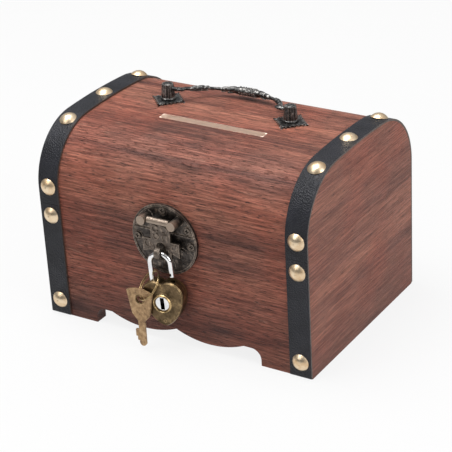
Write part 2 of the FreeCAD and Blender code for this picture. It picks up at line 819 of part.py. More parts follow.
bevel_out = case_front_out - case_bevel
case_body = Part.Face(heart_wire(case_inside_out, 1)).extrude(-BACK * (bevel_out - case_inside_out))
case_bow = Part.makeLoft([heart_wire(bevel_out, 1), heart_wire(case_front_out, case_front_scale)],
                         True, True)
boss = Part.makeCone(boss_radius + boss_foot, boss_radius, boss_height,
                     V(0, front_y(case_front_out), plug_z), -BACK)
plug_bore = bar(plug_radius + running_clearance, V(0, front_y(case_back_out), plug_z),
                V(0, front_y(boss_out), plug_z))
latch_space = [
    block((-latch_half - latch_gap, latch_half + latch_throw + latch_gap),
          (front_y(case_inside_out), front_y(plug_back_out)),
          (plug_z - crank_radius, latch_bar_z + latch_bar_height + latch_gap)),
    block((0, shackle_half_span), (front_y(case_inside_out), front_y(shackle_out + latch_gap)),
          (latch_bar_z - latch_gap, latch_bar_z + latch_bar_height + latch_gap)),
]
side_rivet_x = case_half - case_side_wall + side_rivet_wall + rivet_radius
rivet_places = [V(0, 0, case_tip + tip_rivet_rise),
                V(-side_rivet_x, 0, case_top - heart_widest_drop),
                V(side_rivet_x, 0, case_top - heart_widest_drop)]


def rivet(place, clearance, foot_out, head_out):
    """Rivet through the back plate, made larger by a clearance for its hole."""
    return bar(rivet_radius + clearance, place + BACK * front_y(foot_out), place + BACK * front_y(head_out))


rivet_ends = [case_front_out + seat_gap] + [case_inside_out + rivet_depth] * 2
rivet_holes = [rivet(place, running_clearance, case_back_out, end + seat_gap)
               for place, end in zip(rivet_places, rivet_ends)]
case = joined([case_body, case_bow, boss]).cut(
    [plug_bore, leg_bore(-shackle_half_span, spring_foot),
     leg_bore(shackle_half_span, short_leg_shut - latch_gap)] + latch_space + rivet_holes)
save("padlock_case", hung(case))
back_plate = Part.Face(heart_wire(case_back_out, 1)).extrude(-BACK * case_back_thickness)
save("padlock_back_plate", hung(back_plate.cut(rivet_holes)))
save("padlock_rivets", *[hung(rivet(place, 0, case_back_out, end))
                         for place, end in zip(rivet_places, rivet_ends)])


# Lock: a plug turned by the key, with a crank pin that throws the latch into the short leg
plug_front_out = boss_out - plug_recess
keyhole = block((-keyhole_width / 2, keyhole_width / 2),
                (front_y(plug_front_out), front_y(plug_front_out - keyhole_depth)),
                (plug_z - plug_radius + keyhole_margin, plug_z + plug_radius - keyhole_margin))
crank_pin = bar(crank_pin_radius, V(0, front_y(plug_back_out), plug_z + crank_radius),
                V(0, front_y(latch_back_out), plug_z + crank_radius))
plug_body = bar(plug_radius, V(0, front_y(plug_back_out), plug_z), V(0, front_y(plug_front_out), plug_z))
plug = joined([plug_body, crank_pin])
save("padlock_plug", hung(plug.cut(keyhole)))

latch_y = (front_y(latch_back_out), front_y(latch_front_out))
latch_top = latch_bar_z + latch_bar_height
slot_half = crank_pin_radius + crank_slack
latch = joined([
    block((-latch_half, latch_half), latch_y, (plug_z - crank_pin_radius, latch_top)),
    block((-latch_half, latch_rest_x), latch_y, (latch_bar_z, latch_top)),
    block((latch_rest_x - latch_prong, latch_rest_x), (latch_y[0], front_y(shackle_out)),
          (latch_bar_z, latch_top)),
])
crank_slot = block((-slot_half, slot_half), latch_y,
                   (plug_z - crank_radius, plug_z + crank_radius + slot_half))
save("padlock_latch", hung(latch.cut(crank_slot)))

spring_length = long_leg_end - spring_foot - 2 * seat_gap
spring_radius = shackle_radius - spring_wire_radius
spring_rise = spring_length - 2 * spring_wire_radius
spring_line = Part.Wire(Part.makeHelix(spring_rise / spring_turns, spring_rise, spring_radius))
spring_section = Part.Wire(Part.Circle(V(spring_radius, 0, 0), BACK, spring_wire_radius).toShape())
spring = spring_line.makePipeShell([spring_section], True, True)
spring.translate(V(-shackle_half_span, front_y(shackle_out), spring_foot + seat_gap + spring_wire_radius))
save("padlock_spring", hung(spring))


# Key: a flat head with a hole, and a blade with a stepped bit on its left
def key_face():
    """Back face of the key, with the centre of its hole at X = 0 and Z = 0."""
    y = front_y(key_out) + key_thickness / 2

    def at(x, z):
        return V(x, y, z)

    right_side = [at(key_head_half, key_shoulder_rise), at(key_waist_half, -key_waist_drop),
                  at(blade_half, -key_neck_drop), at(blade_half, blade_half - blade_drop)]
    left_side = [at(-blade_half, blade_half - blade_drop),
                 at(-blade_half, -bit_drop - bit_length - step_length),
                 at(-blade_half - step_reach, -bit_drop - bit_length - step_length),
                 at(-blade_half - step_reach, -bit_drop - bit_length),
                 at(-blade_half - bit_reach, -bit_drop - bit_length),
                 at(-blade_half - bit_reach, -bit_drop),
                 at(-blade_half, -bit_drop), at(-blade_half, -key_neck_drop),
                 at(-key_waist_half, -key_waist_drop), at(-key_head_half, key_shoulder_rise)]
    edges = [line(a, b) for side in (right_side, left_side) for a, b in zip(side, side[1:])]
    edges.append(arc(right_side[-1], at(0, -blade_drop), left_side[0]))
    edges.append(arc(left_side[-1], at(0, key_crown_rise), right_side[0]))
    return Part.Face(Part.Wire(Part.__sortEdges__(edges)))


key_hole = bar(key_hole_radius, V(0, front_y(key_out - key_thickness), 0),
               V(0, front_y(key_out + key_thickness), 0))
key = key_face().extrude(-BACK * key_thickness).cut(key_hole)
key_hole_centre = V(key_hole_x, 0, key_hole_z)
key.translate(key_hole_centre)
save("key", key)


# Key ring: round wire through the hole of the key and round the long leg, resting over the case
ring_foot = key_hole_centre + V(0, front_y(key_out), ring_seat)
ring_head = hung(V(-shackle_half_span + ring_beside_leg, front_y(shackle_out - ring_behind_leg),
                   case_top + ring_above_case))
ring_down = ring_foot - ring_head
ring_across = ring_down.cross(UP).normalize()
ring_radius = ring_down.Length / 2
ring_centre = (ring_foot + ring_head) * 0.5
ring_normal = ring_across.cross(ring_down).normalize()
save("key_ring", Part.makeTorus(ring_radius, ring_wire_radius, ring_centre, ring_normal))
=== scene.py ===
import math

import bpy
from mathutils import Matrix, Vector


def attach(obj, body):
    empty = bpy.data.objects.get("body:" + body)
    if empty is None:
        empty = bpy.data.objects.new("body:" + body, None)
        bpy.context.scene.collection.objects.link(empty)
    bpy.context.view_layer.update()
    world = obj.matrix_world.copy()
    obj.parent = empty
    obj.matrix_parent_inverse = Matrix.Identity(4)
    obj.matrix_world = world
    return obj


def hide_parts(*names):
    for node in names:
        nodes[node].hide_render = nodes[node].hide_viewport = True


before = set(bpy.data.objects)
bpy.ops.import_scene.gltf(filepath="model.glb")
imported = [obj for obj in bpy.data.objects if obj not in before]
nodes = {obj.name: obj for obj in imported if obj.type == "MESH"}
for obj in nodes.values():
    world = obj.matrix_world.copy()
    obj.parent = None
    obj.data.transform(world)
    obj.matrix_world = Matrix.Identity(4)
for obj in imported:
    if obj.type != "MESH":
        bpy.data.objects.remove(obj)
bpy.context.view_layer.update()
bpy.ops.object.select_all(action="DESELECT")

# Boards of the box. Reddish hardwood, cut from planks, stained and rubbed to a satin finish.
# The grain runs along the box on the front, back and lid, and from front to back on the ends.
BOARDS_ALONG = ("base_front", "base_back", "base_floor", "lid_shell")
BOARDS_ACROSS = ("base_left_end", "base_right_end", "lid_left_end", "lid_right_end")
WOOD_DARK = "462d29"
WOOD_MIDDLE = "7d4f42"
WOOD_LIGHT = "9e6855"
WOOD_RED = "8a4a3a"
PORE_DARK = "2c1917"
FLECK_PALE = "b98a75"
# Unstained wood inside the coin slot, made paler than the wood itself as painted light against the slot's
# shade.
RAW_WOOD_AND_PAINTED_LIGHT = "ffe3cf"
# Painted shade: the wood is darkened towards the foot of the box, where less light falls.
PAINTED_SHADE_FOOT = (0.008, 0.045)
BAND_SCALE = 62.0
FIBRE_SCALE = 1150.0
PORE_SCALE = 1600.0
FLECK_SCALE = 800.0
PATCH_SCALE = 26.0
STREAKS = ((0.34, "6a6a6a"), (0.5, "b4b4b4"), (0.66, "f4f4f4"))
WOOD_GLOSS = 0.22
GRAIN_DEPTH = 0.0003
SLOT_MIDDLE = (0.002, -0.014)
SLOT_HALF = (0.0331, 0.00256)


def tint(code):
    """The linear colour of a six-digit screen colour."""
    steps = [int(code[place:place + 2], 16) / 255 for place in (0, 2, 4)]
    return [s / 12.92 if s < 0.04045 else ((s + 0.055) / 1.055) ** 2.4 for s in steps] + [1.0]


def start_finish(name):
    """A new material with its node tree and its shader."""
    finish = bpy.data.materials.new(name)
    finish.use_nodes = True
    return finish, finish.node_tree, finish.node_tree.nodes["Principled BSDF"]


def add(tree, kind, sockets, **settings):
    """Adds a node. A socket takes a plain value or the output of another node."""
    made = tree.nodes.new("ShaderNode" + kind)
    for name, value in settings.items():
        setattr(made, name, value)
    for name, value in sockets.items():
        if isinstance(value, bpy.types.NodeSocket):
            tree.links.new(value, made.inputs[name])
        else:
            made.inputs[name].default_value = value
    return made


def ramp(tree, value, stops):
    """Maps a value to colours, given as (place, screen colour)."""
    made = add(tree, "ValToRGB", {"Fac": value})
    band = made.color_ramp
    while len(band.elements) < len(stops):
        band.elements.new(0.5)
    for element, (place, code) in zip(band.elements, stops):
        element.position = place
        element.color = tint(code)
    return made.outputs["Color"]


def between(tree, value, low, high, start=0.0, end=1.0):
    """Spreads the part of a value from low to high over start to end."""
    made = add(
        tree, "MapRange",
        {"Value": value, "From Min": low, "From Max": high, "To Min": start, "To Max": end},
    )
    return made.outputs["Result"]


def blended(tree, amount, first, second, way="MIX"):
    """Mixes two colours, each an output or a screen colour."""
    sockets = {"Fac": amount}
    for name, colour in (("Color1", first), ("Color2", second)):
        sockets[name] = tint(colour) if isinstance(colour, str) else colour
    return add(tree, "MixRGB", sockets, blend_type=way).outputs["Color"]


def relief(tree, shader, height, depth, strength=1.0):
    """Raises the surface by a height map, to a depth in metres."""
    bump = add(tree, "Bump", {"Height": height, "Distance": depth, "Strength": strength})
    tree.links.new(bump.outputs["Normal"], shader.inputs["Normal"])


def noise(tree, vector, scale, detail=4.0, rough=0.55, bend=0.0):
    """Soft noise, with so many features in a metre."""
    made = add(
        tree, "TexNoise",
        {"Vector": vector, "Scale": scale, "Detail": detail, "Roughness": rough, "Distortion": bend},
    )
    return made.outputs["Fac"]


def wood_finish(name, stretch, turn, shift, contrast, figure):
    """Stained wood whose grain is drawn out along one axis; unstained inside the coin slot, and lightened
    there past its own colour as painted light.
    """
    finish, tree, shader = start_finish(name)
    place = add(tree, "TexCoord", {}).outputs["Object"]
    grain = add(
        tree, "Mapping", {"Vector": place, "Scale": stretch, "Rotation": turn, "Location": shift},
    ).outputs["Vector"]
    less_stretch = [min(1.0, 3.0 * share) for share in stretch]
    short = add(
        tree, "Mapping", {"Vector": place, "Scale": less_stretch, "Rotation": turn},
    ).outputs["Vector"]
    bands = noise(tree, grain, BAND_SCALE, 4.0, 0.6, 0.9)
    fibres = noise(tree, grain, FIBRE_SCALE, 6.0, 0.75)
    pores = noise(tree, short, PORE_SCALE, 3.0, 0.6)
    flecks = noise(tree, short, FLECK_SCALE, 2.0, 0.5)
    patches = noise(tree, place, PATCH_SCALE, 2.0)
    colour = ramp(
        tree, between(tree, bands, 0.5 - contrast, 0.5 + contrast),
        ((0.0, WOOD_DARK), (0.42, WOOD_MIDDLE), (1.0, WOOD_LIGHT)),
    )
    colour = blended(tree, between(tree, patches, 0.42, 0.68, 0.0, 0.6), colour, WOOD_RED)
    streak = ramp(tree, fibres, STREAKS)
    colour = blended(tree, figure, colour, streak, "OVERLAY")
    pale = between(tree, flecks, 0.6, 0.78, 0.0, 0.4 * figure)
    colour = blended(tree, pale, colour, FLECK_PALE)
    dark = between(tree, pores, 0.55, 0.7, 0.0, figure)
    colour = blended(tree, dark, colour, PORE_DARK)
    axes = add(tree, "SeparateXYZ", {"Vector": place}).outputs
    # Painted shade, darker towards the foot of the box between the heights given above.
    colour = blended(tree, between(tree, axes["Z"], *PAINTED_SHADE_FOOT, 0.3, 0.0), colour, WOOD_DARK)
    along, across = (
        add(tree, "Math", {0: axes[axis], 1: middle, 2: half}, operation="COMPARE").outputs["Value"]
        for axis, middle, half in zip("XY", SLOT_MIDDLE, SLOT_HALF)
    )
    in_slot = add(tree, "Math", {0: along, 1: across}, operation="MULTIPLY").outputs["Value"]
    # Inside the coin slot: unstained wood, lightened as painted light.
    slot_wood_and_painted_light = blended(tree, 0.12, RAW_WOOD_AND_PAINTED_LIGHT, streak, "MULTIPLY")
    tree.links.new(blended(tree, in_slot, colour, slot_wood_and_painted_light), shader.inputs["Base Color"])
    tree.links.new(between(tree, fibres, 0.3, 0.7, 0.58, 0.44), shader.inputs["Roughness"])
    shader.inputs["Specular IOR Level"].default_value = WOOD_GLOSS
    swell = add(tree, "Math", {0: fibres, 1: dark}, operation="SUBTRACT").outputs["Value"]
    relief(tree, shader, swell, GRAIN_DEPTH, 0.7)
    return finish


def dress(finish, *names):
    """Gives CAD nodes their finish."""
    for name in names:
        for place in nodes[name].material_slots:
            place.material = finish


plank = wood_finish(
    "stained_plank", stretch=(0.045, 1.0, 1.0), turn=(0.0, 0.025, 0.02), shift=(0.3, 0.0, 0.0),
    contrast=0.19, figure=0.95,
)
end_board = wood_finish(
    "stained_end_board", stretch=(1.0, 0.035, 1.0), turn=(0.06, 0.0, 0.0), shift=(0.0, 0.4, 0.1),
    contrast=0.32, figure=0.66,
)
dress(plank, *BOARDS_ALONG)
dress(end_board, *BOARDS_ACROSS)

# Straps over the lid and down the front and back, one near each end.
# Dyed split leather, cut with a knife, glued and held by studs.
STRAPS = [name for name in nodes if "strap" in name]
LEATHER_BLACK = "15161c"
LEATHER_WORN = "212229"
LEATHER_CUT = "57483f"
PEBBLE_SCALE = 1300.0
PEBBLE_DEPTH = 0.0004
RUB_SCALE = 90.0
LEATHER_GLOSS = 0.3
leather, tree, shader = start_finish("dyed_leather")
place = add(tree, "TexCoord", {}).outputs["Object"]
pebbles = add(tree, "TexVoronoi", {"Vector": place, "Scale": PEBBLE_SCALE}).outputs["Distance"]
rub = noise(tree, place, RUB_SCALE, 5.0)
hide = ramp(tree, between(tree, rub, 0.35, 0.7), ((0.0, LEATHER_BLACK), (1.0, LEATHER_WORN)))
facing = add(tree, "NewGeometry", {}).outputs["Normal"]
across = add(tree, "SeparateXYZ", {"Vector": facing}).outputs["X"]
side = add(tree, "Math", {0: across}, operation="ABSOLUTE").outputs["Value"]
hide = blended(tree, between(tree, side, 0.8, 0.95, 0.0, 0.8), hide, LEATHER_CUT)
tree.links.new(hide, shader.inputs["Base Color"])
tree.links.new(between(tree, rub, 0.3, 0.7, 0.44, 0.32), shader.inputs["Roughness"])
shader.inputs["Specular IOR Level"].default_value = LEATHER_GLOSS
relief(tree, shader, pebbles, PEBBLE_DEPTH, 0.8)
dress(leather, *STRAPS)

# Round-headed studs on the straps. Pressed from brass sheet, polished and a little tarnished,
# each driven through the leather into the wood.
STUDS = ("base_studs", "lid_studs")
STUD_BRASS = "eed9ba"
STUD_TARNISH = "d2ae82"
CLOUD_SCALE = 260.0
DENT_SCALE = 900.0
DENT_DEPTH = 0.0001
stud_brass, tree, shader = start_finish("polished_brass")
place = add(tree, "TexCoord", {}).outputs["Object"]
cloud = noise(tree, place, CLOUD_SCALE, 5.0)
tree.links.new(
    ramp(tree, between(tree, cloud, 0.4, 0.75), ((0.0, STUD_BRASS), (1.0, STUD_TARNISH))),
    shader.inputs["Base Color"],
)
shader.inputs["Metallic"].default_value = 1.0
tree.links.new(between(tree, cloud, 0.3, 0.7, 0.3, 0.42), shader.inputs["Roughness"])
relief(tree, shader, noise(tree, place, DENT_SCALE, 2.0), DENT_DEPTH, 0.15)
dress(stud_brass, *STUDS)

# Butt hinges on the back. Stamped steel leaves rolled round a pin, plated and darkened
# to an old bronze, and held by small countersunk screws.
HINGE_NODES = [name for name in nodes if name.startswith("hinge_")]
BRONZE_DARK = "231f1d"
BRONZE_GREY = "4e4844"
BRONZE_RUBBED = "ac9a8a"
HOLLOW_REACH = 0.003
PIT_DEPTH = 0.0003


def hollows(tree, reach):
    """Nought deep in a hollow of the piece itself, one on open ground."""
    return add(tree, "AmbientOcclusion", {"Distance": reach}, samples=8, only_local=True).outputs["AO"]


def worn_edges(tree, radius):
    """One on sharp outer edges, where a finish is rubbed through."""
    soft = add(tree, "Bevel", {"Radius": radius}, samples=6).outputs["Normal"]
    true = add(tree, "NewGeometry", {}).outputs["Normal"]
    along = add(tree, "VectorMath", {0: soft, 1: true}, operation="DOT_PRODUCT").outputs["Value"]
    return between(tree, along, 0.8, 0.985, 1.0, 0.0)


def patina(name, dark, grey, bright, metal, rough, grain, edge):
    """Old plated metal: dark in the hollows, mottled on the flats, bright where it is rubbed."""
    finish, tree, shader = start_finish(name)
    place = add(tree, "TexCoord", {}).outputs["Object"]
    mottle = noise(tree, place, grain, 6.0, 0.65)
    colour = ramp(
        tree, between(tree, mottle, 0.3, 0.78), ((0.0, dark), (0.5, grey), (1.0, bright)),
    )
    depth = between(tree, hollows(tree, HOLLOW_REACH), 0.45, 0.95, 0.75, 0.0)
    colour = blended(tree, depth, colour, dark)
    rubbed = add(
        tree, "Math", {0: worn_edges(tree, edge), 1: between(tree, mottle, 0.35, 0.6, 0.3, 0.9)},
        operation="MULTIPLY",
    ).outputs["Value"]
    colour = blended(tree, rubbed, colour, bright)
    tree.links.new(colour, shader.inputs["Base Color"])
    shader.inputs["Metallic"].default_value = metal
    tree.links.new(between(tree, mottle, 0.3, 0.7, rough + 0.1, rough - 0.06), shader.inputs["Roughness"])
    relief(tree, shader, mottle, PIT_DEPTH, 0.45)
    return finish, tree, shader, colour, place


bronze = patina(
    "old_bronze", BRONZE_DARK, BRONZE_GREY, BRONZE_RUBBED,
    metal=0.85, rough=0.42, grain=420.0, edge=0.0004,
)[0]
dress(bronze, *HINGE_NODES)

# Round hasp, split at the seam: two stamped plates and a flap hinged on a pin, in the same
# old bronze. The ears and the barrel stand proud and are lighter: partly rubbed to a warm brass, partly a
# painted sheen.
HASP_NODES = [name for name in nodes if name.startswith("hasp_")]
HASP_PROUD_AND_SHEEN = (0.0641, 0.0674)
hasp_bronze, tree, shader, colour, place = patina(
    "rubbed_bronze", BRONZE_DARK, BRONZE_GREY, BRONZE_RUBBED,
    metal=0.88, rough=0.33, grain=420.0, edge=0.0009,
)
# The parts that stand farthest forward are lightened towards the rubbed colour: partly wear, partly
# painted sheen.
forward = add(tree, "SeparateXYZ", {"Vector": place}).outputs["Y"]
proud_wear_and_sheen = between(tree, forward, -HASP_PROUD_AND_SHEEN[0], -HASP_PROUD_AND_SHEEN[1], 0.0, 0.75)
tree.links.new(blended(tree, proud_wear_and_sheen, colour, BRONZE_RUBBED), shader.inputs["Base Color"])
dress(hasp_bronze, *HASP_NODES)

# Cross-headed screws and the staple of the hasp. Steel, bronzed with the plates and rubbed grey,
# the heads by the driver and the staple by the shackle, and darkened almost to black deep in each cross.
SCREW_GREY = "6e645b"
CROSS_BLACK = "090807"
CROSS_REACH = 0.0009
screw_bronze, tree, shader, colour, _ = patina(
    "bronzed_screw", BRONZE_GREY, SCREW_GREY, BRONZE_RUBBED,
    metal=0.85, rough=0.4, grain=600.0, edge=0.0003,
)
# Darkened almost to black by depth in each cross.
recess = between(tree, hollows(tree, CROSS_REACH), 0.55, 0.85, 1.0, 0.0)
tree.links.new(blended(tree, recess, colour, CROSS_BLACK), shader.inputs["Base Color"])
dress(screw_bronze, "hasp_upper_screws", "hasp_lower_screws", "hasp_staple")

# Raised work stamped into the hasp: a ring round each screw and leaves on the plates, a lip along
# the lower plate at the seam, and curled scrolls on the flap.
MM = 0.001
SMOOTH_UNDER = math.radians(40)
HASP_X = -2.2
HASP_Z = 64.5
HASP_FACE = -60.72
FLAP_FACE = -64.8
SCREW_CIRCLE = 16.8
RING_RADIUS = 2.5
RING_WIRE = 0.38
UPPER_RINGS = (28, 90, 152)
LOWER_RINGS = (-3, 183)
UPPER_LEAVES = ((59, 15.4), (121, 15.4))
LOWER_LEAVES = ((212, 15.8), (236, 14.6), (262, 15.2), (288, 14.8), (318, 15.6), (340, 12.6))
LEAF_SIZE = (3.0, 1.1, 0.45)
LIP_SIZE = (39.0, 1.1, 0.9)
LIP_Z = 68.7
LIP_ROUND = 0.25
SCROLL_WIRE = 0.46
SCROLLS = (
    (-3.0, 72.2, 1.9, 40), (2.6, 72.2, 1.9, 230), (-2.8, 67.6, 1.7, 150), (2.8, 67.6, 1.7, 320),
    (-8.6, 62.4, 1.8, 100), (8.6, 62.4, 1.8, 280), (-6.0, 60.4, 1.3, 200), (6.0, 60.4, 1.3, 20),
)
SCROLL_TURN = math.radians(290)


def settle(name, finish, body, slot, *replaced):
    """Ends the active piece: its place goes into its mesh, then its finish and its body."""
    piece = bpy.context.object
    piece.name = name
    bpy.ops.object.transform_apply(location=True, rotation=True, scale=True)
    bpy.ops.object.mode_set(mode="EDIT")
    bpy.ops.mesh.select_all(action="SELECT")
    bpy.ops.mesh.normals_make_consistent(inside=False)
    bpy.ops.object.mode_set(mode="OBJECT")
    piece.data.materials.clear()
    piece.data.materials.append(finish)
    bpy.ops.object.shade_smooth_by_angle(angle=SMOOTH_UNDER)
    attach(piece, body)
    if replaced:
        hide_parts(*replaced)
    bpy.ops.object.select_all(action="DESELECT")


def joined(pieces):
    """Makes one active object of several."""
    bpy.ops.object.select_all(action="DESELECT")
    for piece in pieces:
        piece.select_set(True)
    bpy.context.view_layer.objects.active = pieces[0]
    bpy.ops.object.transform_apply(location=True, rotation=True, scale=True)
    bpy.ops.object.join()
    return bpy.context.object


def on_circle(angle, radius):
    """A place on the hasp, by angle and distance from its centre."""
    turn = math.radians(angle)
    return HASP_X + radius * math.cos(turn), HASP_Z + radius * math.sin(turn)


def screw_ring(angle):
    """A raised ring round a screw of the hasp."""
    x, z = on_circle(angle, SCREW_CIRCLE)
    bpy.ops.mesh.primitive_torus_add(
        major_radius=RING_RADIUS * MM, minor_radius=RING_WIRE * MM, major_segments=32,
        minor_segments=8, location=(x * MM, HASP_FACE * MM, z * MM), rotation=(math.pi / 2, 0.0, 0.0),
    )
    return bpy.context.object


def plate_leaf(angle, radius):
    """A raised leaf on a plate of the hasp, pointing outwards."""
    x, z = on_circle(angle, radius)
    bpy.ops.mesh.primitive_uv_sphere_add(
        segments=14, ring_count=8, radius=MM, location=(x * MM, HASP_FACE * MM, z * MM),
        rotation=(math.pi / 2, -math.radians(angle), 0.0), scale=LEAF_SIZE,
    )
    return bpy.context.object


def seam_lip():
    """A raised lip along the upper edge of the lower plate, rounded at its corners."""
    bpy.ops.mesh.primitive_cube_add(
        size=MM, scale=LIP_SIZE, location=(HASP_X * MM, HASP_FACE * MM, LIP_Z * MM))
    lip = bpy.context.object
    bpy.ops.object.transform_apply(location=True, rotation=True, scale=True)
    soft = lip.modifiers.new("rounding", "BEVEL")
    soft.width = LIP_ROUND * MM
    soft.segments = 3
    bpy.ops.object.modifier_apply(modifier=soft.name)
    return lip


def flap_scroll(across, height, radius, start):
    """A curled scroll on the flap, swept round its own centre and drawn in as it turns."""
    begin = math.radians(start)
    bpy.ops.mesh.primitive_circle_add(
        vertices=8, radius=SCROLL_WIRE * MM, fill_type="NGON",
        location=(radius * math.cos(begin) * MM, 0.0, radius * math.sin(begin) * MM),
        rotation=(0.0, -begin, 0.0),
    )
    bpy.ops.object.transform_apply(location=True, rotation=True, scale=True)
    bpy.ops.object.mode_set(mode="EDIT")
    bpy.ops.mesh.select_all(action="SELECT")
    bpy.ops.mesh.spin(steps=22, angle=SCROLL_TURN, center=(0.0, 0.0, 0.0), axis=(0.0, 1.0, 0.0))
    bpy.ops.mesh.select_all(action="SELECT")
    bpy.ops.mesh.remove_doubles(threshold=1e-6)
    bpy.ops.transform.translate(value=((HASP_X + across) * MM, FLAP_FACE * MM, height * MM))
    bpy.ops.object.mode_set(mode="OBJECT")
    return bpy.context.object


joined([screw_ring(a) for a in UPPER_RINGS] + [plate_leaf(*leaf) for leaf in UPPER_LEAVES])
settle("hasp_upper_relief", hasp_bronze, "lid", "antique_bronze")
joined([seam_lip()] + [screw_ring(a) for a in LOWER_RINGS] + [plate_leaf(*leaf) for leaf in LOWER_LEAVES])
settle("hasp_lower_relief", hasp_bronze, "base", "antique_bronze")
joined([flap_scroll(*scroll) for scroll in SCROLLS])
settle("hasp_flap_scrolls", hasp_bronze, "flap", "antique_bronze")

# Plates under the handle's posts. Cast zinc diamonds with a lace edge and a pebbled face,
# blackened and brushed back to pewter, held down by the posts.
PEWTER_BLACK = "17181a"
PEWTER_GREY = "4c4b4b"
PEWTER_BRIGHT = "cfccc7"
HANDLE_SIDES = (("left", -39.4), ("right", 39.4))
HANDLE_Y = 6.0
PLATE_HALF = 10.9
PLATE_FOOT = 113.55
PLATE_THICK = 0.9
PLATE_CUTS = 11
LACE_DEPTH = 0.8
PEBBLE_RISE = 0.55
lace = patina(
    "brushed_pewter", PEWTER_BLACK, PEWTER_GREY, PEWTER_BRIGHT,
    metal=0.9, rough=0.3, grain=700.0, edge=0.0013,
)[0]


def pick(test):
    """Selects, in edit mode, the corners of the active mesh whose place passes a test."""
    bpy.ops.mesh.select_mode(type="VERT")
    bpy.ops.mesh.select_all(action="DESELECT")
    bpy.ops.object.mode_set(mode="OBJECT")
    for corner in bpy.context.object.data.vertices:
        corner.select = test(corner.co)
    bpy.ops.object.mode_set(mode="EDIT")


def lace_steps(place):
    """How far a corner of the plate lies from its two left edges, in steps of the grid."""
    half_steps = (PLATE_CUTS + 1) / 2
    first = (place.x + place.y) / (PLATE_HALF * MM) * half_steps + half_steps
    second = (place.x - place.y) / (PLATE_HALF * MM) * half_steps + half_steps
    return round(first), round(second)


def on_lace(place):
    """Every other corner of the plate's edge."""
    first, second = lace_steps(place)
    last = PLATE_CUTS + 1
    return (first in (0, last) and second % 2 == 1) or (second in (0, last) and first % 2 == 1)


def on_pebble(place):
    """Corners of the upper face that are raised, in a chequer between the post and the edge."""
    first, second = lace_steps(place)
    inner = 1 < first < PLATE_CUTS and 1 < second < PLATE_CUTS
    return place.z > PLATE_THICK * MM / 2 and inner and (first + second) % 2 == 0


for side, x in HANDLE_SIDES:
    bpy.ops.mesh.primitive_circle_add(vertices=4, radius=PLATE_HALF * MM, fill_type="NGON")
    bpy.ops.object.mode_set(mode="EDIT")
    bpy.ops.mesh.select_all(action="SELECT")
    bpy.ops.mesh.subdivide(number_cuts=PLATE_CUTS)
    pick(on_lace)
    bpy.ops.transform.resize(value=(LACE_DEPTH, LACE_DEPTH, 1.0), center_override=(0.0, 0.0, 0.0))
    bpy.ops.object.mode_set(mode="OBJECT")
    wall = bpy.context.object.modifiers.new("thickness", "SOLIDIFY")
    wall.thickness = PLATE_THICK * MM
    wall.offset = 1.0
    bpy.ops.object.modifier_apply(modifier=wall.name)
    bpy.ops.object.mode_set(mode="EDIT")
    pick(on_pebble)
    bpy.ops.transform.translate(value=(0.0, 0.0, PEBBLE_RISE * MM))
    bpy.ops.object.mode_set(mode="OBJECT")
    bpy.context.object.location = (x * MM, HANDLE_Y * MM, PLATE_FOOT * MM)
    settle("handle_plate_" + side, lace, "lid", "dark_cast_metal", "handle_" + side + "_plate")

# Posts of the handle. Cast with the same zinc, fluted and tapered, with a collar at the foot
# and a shallow cap. A screw from inside the lid holds each one.
POST_FOOT = 114.75
POST_HEIGHT = 8.8
POST_RADII = (4.1, 3.3)
FLUTE_COUNT = 8
FLUTE_DEPTH = 0.82
COLLAR = (3.7, 0.75)
CAP_SIZE = (2.6, 2.6, 0.35)
pewter = patina(
    "blackened_pewter", PEWTER_BLACK, PEWTER_GREY, PEWTER_BRIGHT,
    metal=0.9, rough=0.32, grain=520.0, edge=0.0007,
)[0]
for side, x in HANDLE_SIDES:
    bpy.ops.mesh.primitive_cone_add(
        vertices=4 * FLUTE_COUNT, radius1=POST_RADII[0] * MM, radius2=POST_RADII[1] * MM,
        depth=POST_HEIGHT * MM, location=(x * MM, HANDLE_Y * MM, (POST_FOOT + POST_HEIGHT / 2) * MM),
    )
    post = bpy.context.object
    bpy.ops.object.mode_set(mode="EDIT")
    pick(lambda c: round(math.atan2(c.y, c.x) / (2 * math.pi) * 4 * FLUTE_COUNT) % 4 == 2)
    bpy.ops.transform.resize(
        value=(FLUTE_DEPTH, FLUTE_DEPTH, 1.0), center_override=(x * MM, HANDLE_Y * MM, POST_FOOT * MM))
    bpy.ops.object.mode_set(mode="OBJECT")
    bpy.ops.mesh.primitive_torus_add(
        major_radius=COLLAR[0] * MM, minor_radius=COLLAR[1] * MM, major_segments=32, minor_segments=10,
        location=(x * MM, HANDLE_Y * MM, (POST_FOOT + COLLAR[1] / 2) * MM),
    )
    collar = bpy.context.object
    bpy.ops.mesh.primitive_uv_sphere_add(
        segments=24, ring_count=10, radius=MM, scale=CAP_SIZE,
        location=(x * MM, HANDLE_Y * MM, (POST_FOOT + POST_HEIGHT) * MM),
    )
    joined([post, collar, bpy.context.object])
    settle("handle_post_" + side, pewter, "lid", "dark_cast_metal", "handle_" + side + "_post")

